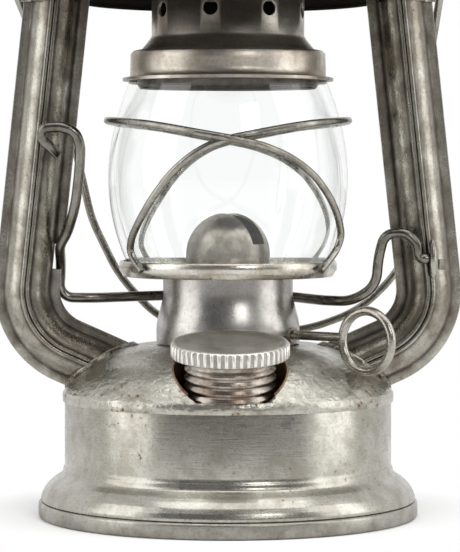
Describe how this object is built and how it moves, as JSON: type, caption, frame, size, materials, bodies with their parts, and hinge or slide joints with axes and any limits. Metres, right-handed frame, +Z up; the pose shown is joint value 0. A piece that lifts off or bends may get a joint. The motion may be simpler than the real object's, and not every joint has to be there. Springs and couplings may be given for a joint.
{
  "type": "barn lantern",
  "caption": "Small tubular kerosene barn lantern with glass globe, wick raiser, lift lever, screw filler cap, sliding chimney and wire bail.",
  "frame": {"origin": "centre of the foot ring, on the surface that the lantern stands on", "axes": "+Z up along the middle axis, -Y towards the filler cap (front), +X towards the wick raiser"},
  "size_m": [0.129, 0.1048, 0.2185],
  "materials": {
    "tank_steel": "worn bare steel, brushed, with rust specks",
    "tube_steel": "worn bare steel with brown patina",
    "wire_steel": "dark bare wire",
    "burner_steel": "satin bare steel",
    "hidden_steel": "sooty steel",
    "cap_steel": "worn bare steel, knurled",
    "rusty_steel": "bare steel with brown rust",
    "clear_glass": "clear blown glass",
    "wick_cotton": "woven cotton",
    "cork": "pressed fibre gasket"
  },
  "bodies": {
    "lantern_frame": {"tank_bottom": "tank_steel", "tank_wall": "tank_steel", "tank_top": "tank_steel", "filler_well": "rusty_steel", "filler_neck": "rusty_steel", "air_duct": "hidden_steel", "tube_foot_rim_left": "tube_steel", "tube_foot_rim_right": "tube_steel", "left_tube_outer": "tube_steel", "left_tube_inner": "tube_steel", "right_tube_outer": "tube_steel", "right_tube_inner": "tube_steel", "lever_socket": "tube_steel", "burner_seat": "burner_steel", "burner_base": "hidden_steel", "burner_skirt": "burner_steel", "burner_deck": "burner_steel", "flame_dome": "burner_steel", "wick_tube": "hidden_steel", "raiser_bush": "burner_steel", "air_chamber_lower": "hidden_steel", "air_chamber_upper": "hidden_steel", "chimney_guide": "hidden_steel", "chimney_spring": "hidden_steel", "canopy": "hidden_steel", "bail_ear_left": "tube_steel", "bail_ear_right": "tube_steel"},
    "lift_lever": {"lift_lever": "wire_steel"},
    "globe_carriage": {"globe_plate": "burner_steel", "globe": "clear_glass", "guard_wire_left": "wire_steel", "guard_wire_right": "wire_steel"},
    "chimney": {"globe_collar": "burner_steel", "mouth_ring": "burner_steel", "chimney_pipe": "hidden_steel", "spring_seat": "hidden_steel", "crown_skirt": "burner_steel", "crown_band": "burner_steel", "crown_cap": "burner_steel", "ring_lug": "burner_steel"},
    "lifting_ring": {"lifting_ring": "wire_steel"},
    "bail": {"bail": "wire_steel"},
    "wick_raiser": {"raiser_wire": "wire_steel", "raiser_wheels": "hidden_steel"},
    "wick": {"wick": "wick_cotton"},
    "cap_gasket": {"cap_gasket": "cork"},
    "filler_cap": {"filler_cap": "cap_steel", "cap_plug": "cap_steel"}
  },
  "joints": [
    {"name": "lever_swing", "type": "hinge", "parent": "lantern_frame", "child": "lift_lever", "pos_m": [-0.0463, 0, 0.0712], "axis": [0.9949, -0.1008, 0], "range_deg": [0, 30.1]},
    {"name": "carriage_lift", "type": "slide", "parent": "lantern_frame", "child": "globe_carriage", "axis": [0, 0, 1], "range_m": [0, 0.0099]},
    {"name": "chimney_lift", "type": "slide", "parent": "globe_carriage", "child": "chimney", "axis": [0, 0, 1], "range_m": [0, 0.007], "stiffness_N_per_m": 60, "springref_m": -0.01, "deforming": ["chimney_spring"]},
    {"name": "ring_swing", "type": "hinge", "parent": "chimney", "child": "lifting_ring", "pos_m": [0, 0, 0.2166], "axis": [1, 0, 0], "range_deg": [0, 180]},
    {"name": "bail_swing", "type": "hinge", "parent": "lantern_frame", "child": "bail", "pos_m": [0, 0, 0.153], "axis": [1, 0, 0], "range_deg": [0, 300]},
    {"name": "raiser_turn", "type": "hinge", "parent": "lantern_frame", "child": "wick_raiser", "pos_m": [0.00265, 0.00316, 0.0504], "axis": [0.766, -0.6428, 0], "range_deg": [-110.3, 50.3]},
    {"name": "wick_travel", "type": "slide", "parent": "lantern_frame", "child": "wick", "axis": [0, 0, 1], "range_m": [-0.00262, 0.00576]},
    {"name": "cap_rise", "type": "slide", "parent": "lantern_frame", "child": "cap_gasket", "axis": [0, -0.1547, 0.988], "range_m": [0, 0.00575]},
    {"name": "cap_turn", "type": "hinge", "parent": "cap_gasket", "child": "filler_cap", "pos_m": [0.0006, -0.0339, 0.0347], "axis": [0, -0.1547, 0.988], "range_deg": [0, 901]}
  ],
  "couplings": [
    {"joint": "lever_swing", "follows": "carriage_lift", "rad_per_m": 52.889},
    {"joint": "raiser_turn", "follows": "wick_travel", "rad_per_m": -333.33},
    {"joint": "cap_turn", "follows": "cap_rise", "rad_per_m": 2731.8}
  ]
}
